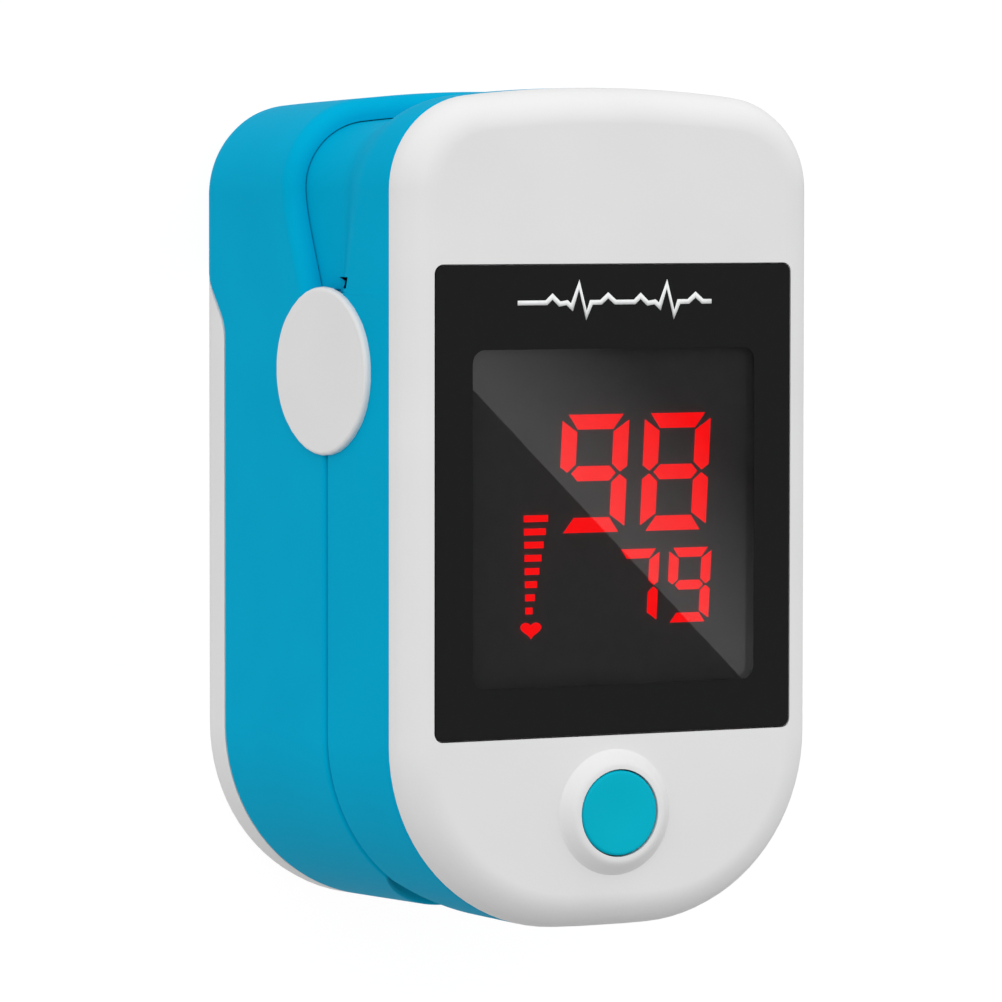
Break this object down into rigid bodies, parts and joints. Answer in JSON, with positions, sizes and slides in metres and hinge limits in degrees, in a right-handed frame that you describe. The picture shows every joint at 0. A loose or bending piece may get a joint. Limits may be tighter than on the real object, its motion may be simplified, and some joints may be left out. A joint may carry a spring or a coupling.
{
  "type": "fingertip pulse oximeter",
  "caption": "Clip-on fingertip pulse oximeter: two spring-hinged plastic halves round a padded finger channel, with a lit display, a round button and a sliding battery door.",
  "frame": {"origin": "middle of the back cover's underside, under the middle of the object's box", "axes": "+Z out of the display, from the back cover up; +Y along the body towards the squeeze end, so the finger goes in towards +Y; +X across the body"},
  "size_m": [0.035, 0.061, 0.0354],
  "materials": {
    "cover_white": "satin moulded ABS",
    "shell_blue": "satin moulded ABS",
    "window_black": "gloss acrylic sheet, black screen print",
    "display_body": "dark moulded lamp block",
    "display_red": "lit diffuser",
    "board_green": "solder mask",
    "chip_black": "moulded epoxy",
    "component_tan": "ceramic",
    "steel": "bright nickel plate",
    "button_teal": "satin moulded ABS",
    "pad_silicone": "matt silicone rubber",
    "tray_white": "moulded ABS",
    "lens_clear": "clear polycarbonate",
    "led_ivory": "clear epoxy",
    "cell_wrap": "printed film over a steel can",
    "flex_amber": "polyimide film"
  },
  "bodies": {
    "lower_half": {"lower_shell": "shell_blue", "battery_tray": "tray_white", "lower_finger_pad": "pad_silicone", "detector_board": "board_green", "photodetector": "chip_black", "detector_window": "lens_clear", "battery_left": "cell_wrap", "battery_right": "cell_wrap", "battery_link_plate": "steel", "battery_terminals": "steel", "battery_springs": "steel", "hinge_pin_left": "steel", "hinge_pin_right": "steel", "torsion_spring_left": "steel", "torsion_spring_right": "steel", "hinge_cap_left": "cover_white", "hinge_cap_right": "cover_white", "flex_cable": "flex_amber", "tray_screws": "steel"},
    "upper_half": {"front_cover": "cover_white", "display_window": "window_black", "led_display": "display_body", "display_segments": "display_red", "main_board": "board_green", "processor_chip": "chip_black", "board_components": "component_tan", "power_switch": "steel", "upper_frame": "shell_blue", "upper_finger_pad": "pad_silicone", "light_emitter": "led_ivory", "emitter_window": "lens_clear", "frame_screws": "steel"},
    "button": {"power_button": "button_teal", "switch_plunger": "chip_black"},
    "door": {"battery_door": "cover_white"}
  },
  "joints": [
    {"name": "clip_hinge", "type": "hinge", "parent": "lower_half", "child": "upper_half", "pos_m": [0, 0.0099, 0.0218], "axis": [-1, 0, 0], "range_deg": [0, 15], "stiffness_Nm_per_rad": 0.25, "springref_deg": -22.92, "deforming": ["torsion_spring_left", "torsion_spring_right", "flex_cable"]},
    {"name": "power_button_press", "type": "slide", "parent": "upper_half", "child": "button", "axis": [0, 0, -1], "range_m": [0, 0.0004], "stiffness_N_per_m": 500, "springref_m": -0.0003},
    {"name": "battery_door_slide", "type": "slide", "parent": "lower_half", "child": "door", "axis": [0, -1, 0], "range_m": [0, 0.05]}
  ]
}
